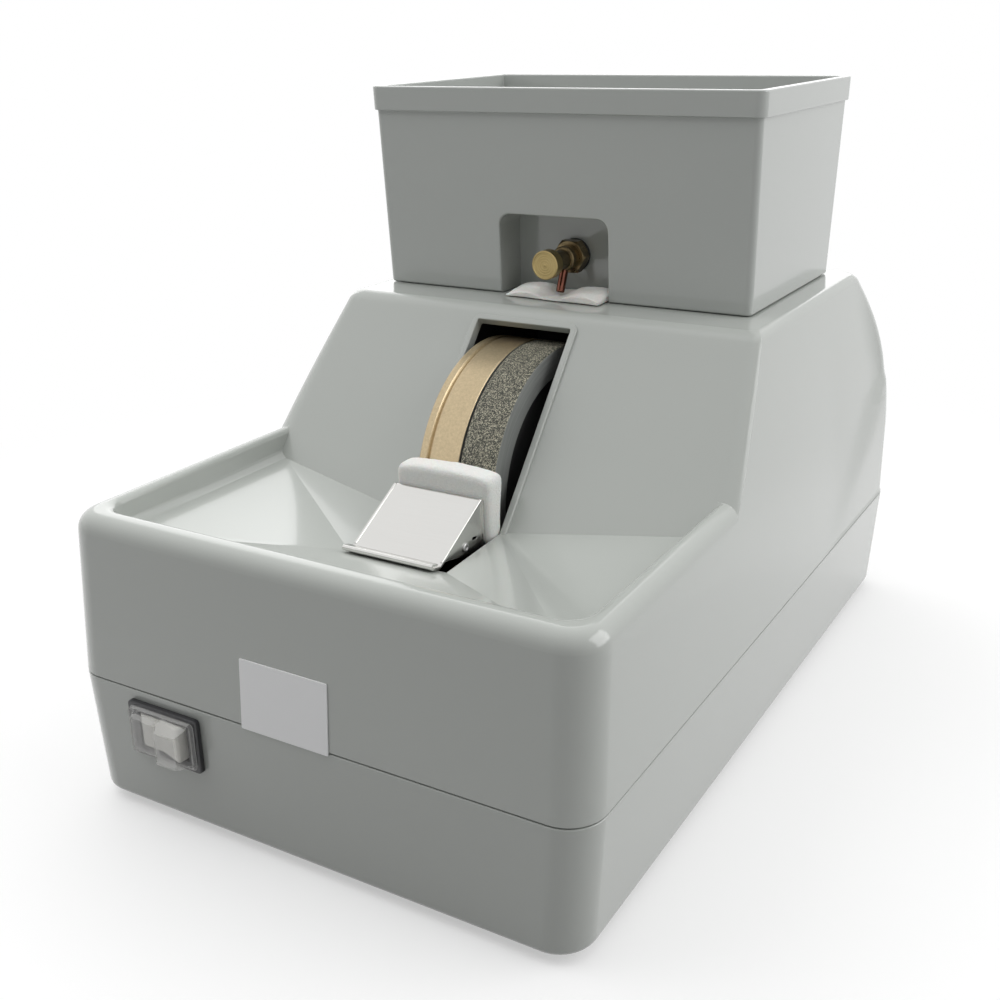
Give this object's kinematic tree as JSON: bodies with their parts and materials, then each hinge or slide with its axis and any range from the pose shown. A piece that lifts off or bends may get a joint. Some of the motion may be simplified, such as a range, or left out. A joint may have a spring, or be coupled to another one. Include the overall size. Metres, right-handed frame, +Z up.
{
  "type": "lens edging machine",
  "caption": "Bench machine that grinds the edges of spectacle lenses on belt-driven wheels in a splash basin, kept wet by a drip tap on a lift-off water tank.",
  "frame": {"origin": "on the ground, under the middle of the machine's overall box", "axes": "+X to the right, -Y to the front where the user sits, +Z up"},
  "size_m": [0.2138, 0.3394, 0.2488],
  "materials": {
    "casing": "glossy moulded, pale grey",
    "tank": "glossy moulded, grey",
    "black_plastic": "satin black",
    "rocker": "satin, off-white",
    "clear_boot": "clear, soft",
    "rubber": "matt black",
    "steel": "ground",
    "stainless": "bright rolled sheet",
    "aluminium": "turned and cast",
    "brass": "turned",
    "copper": "copper, drawn",
    "fine_bond": "bronze bond, satin",
    "coarse_grit": "dark bond with coarse grit",
    "foam": "white open-cell foam",
    "white_plate": "white",
    "motor_enamel": "dark enamel",
    "tub": "translucent white, satin"
  },
  "bodies": {
    "casing": {"lower_tray": "casing", "upper_cover": "casing", "switch_housing": "black_plastic", "power_inlet": "black_plastic", "capacitor": "black_plastic", "switch_boot": "clear_boot", "foot_front_left": "rubber", "foot_front_right": "rubber", "foot_rear_left": "rubber", "foot_rear_right": "rubber", "drain_plug": "rubber", "drive_belt": "rubber", "shaft_seal_left": "rubber", "shaft_seal_right": "rubber", "cover_screw_1": "steel", "cover_screw_2": "steel", "cover_screw_3": "steel", "cover_screw_4": "steel", "chassis_plate": "steel", "motor_cradle": "steel", "bearing_left": "steel", "bearing_right": "steel", "pedestal_left": "aluminium", "pedestal_right": "aluminium", "motor_end_left": "aluminium", "motor_end_right": "aluminium", "inlet_pin_live": "brass", "inlet_pin_earth": "brass", "inlet_pin_neutral": "brass", "stator_core": "copper", "drip_pad": "foam", "label_plate": "white_plate", "terminal_block": "white_plate", "motor_case": "motor_enamel", "wheel_tub": "tub", "splash_hood": "tub"},
    "spindle": {"spindle_shaft": "steel", "inner_flange": "steel", "outer_flange": "steel", "coarse_wheel": "coarse_grit", "fine_wheel": "fine_bond", "wheel_spacer": "rubber", "spindle_nut": "steel", "spindle_pulley": "aluminium"},
    "motor_rotor": {"motor_shaft": "steel", "rotor_core": "steel", "motor_pulley": "aluminium"},
    "rocker": {"switch_rocker": "rocker"},
    "bracket": {"sponge_bracket": "stainless", "bracket_screw_left": "stainless", "bracket_screw_right": "stainless"},
    "sponge": {"sponge": "foam"},
    "tank": {"water_tank": "tank", "tap_gasket": "rubber", "tap_nut": "brass", "tap_body": "brass", "tap_lock_nut": "brass", "tap_spout": "copper"},
    "tap_knob": {"tap_knob": "brass"}
  },
  "joints": [
    {"name": "spindle_spin", "type": "hinge", "parent": "casing", "child": "spindle", "pos_m": [0, -0.00075, 0.0954], "axis": [1, 0, 0], "continuous": true},
    {"name": "motor_spin", "type": "hinge", "parent": "casing", "child": "motor_rotor", "pos_m": [0, 0.10885, 0.056], "axis": [1, 0, 0], "continuous": true},
    {"name": "power_rocker", "type": "hinge", "parent": "casing", "child": "rocker", "pos_m": [-0.0608, -0.15645, 0.0377], "axis": [0, 0, 1], "range_deg": [0, 16]},
    {"name": "bracket_lift", "type": "slide", "parent": "casing", "child": "bracket", "axis": [0, 0, 1], "range_m": [0, 0.04]},
    {"name": "sponge_pull", "type": "slide", "parent": "bracket", "child": "sponge", "axis": [0, 0, 1], "range_m": [0, 0.03]},
    {"name": "tank_lift", "type": "slide", "parent": "casing", "child": "tank", "axis": [0, 0, 1], "range_m": [0, 0.06]},
    {"name": "tap_turn", "type": "hinge", "parent": "tank", "child": "tap_knob", "pos_m": [-0.003, 0.0162, 0.1798], "axis": [0, -1, 0], "range_deg": [0, 270]}
  ],
  "couplings": [
    {"joint": "motor_spin", "follows": "spindle_spin", "ratio": 0.75}
  ]
}
